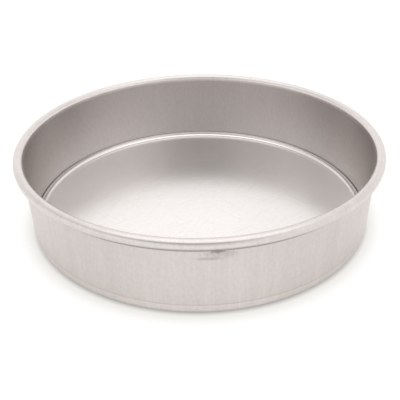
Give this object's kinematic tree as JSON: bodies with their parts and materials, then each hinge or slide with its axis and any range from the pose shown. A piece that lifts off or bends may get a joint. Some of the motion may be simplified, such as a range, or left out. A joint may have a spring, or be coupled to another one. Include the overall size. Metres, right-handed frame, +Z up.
{
  "type": "cake pan",
  "caption": "Round straight-sided aluminium cake pan with a rolled, wire-stiffened rim and a loose base that lifts out to release the cake.",
  "frame": {"origin": "on the pan's axis, in the plane of the ledge's underside, which the pan stands on", "axes": "+Z up along the pan's axis, towards the rim; +X to the right and -Y towards the viewer in the picture"},
  "size_m": [0.2412, 0.2412, 0.0535],
  "materials": {
    "ring_aluminium": "satin, drawn lines running up the wall",
    "base_aluminium": "satin, smooth mill finish",
    "wire_steel": "drawn wire, dull grey"
  },
  "bodies": {
    "ring": {"side_ring": "ring_aluminium", "rim_wire": "wire_steel"},
    "base": {"base_plate": "base_aluminium"}
  },
  "joints": [
    {"name": "base_lift", "type": "slide", "parent": "ring", "child": "base", "axis": [0, 0, 1], "range_m": [0, 0.065]}
  ]
}
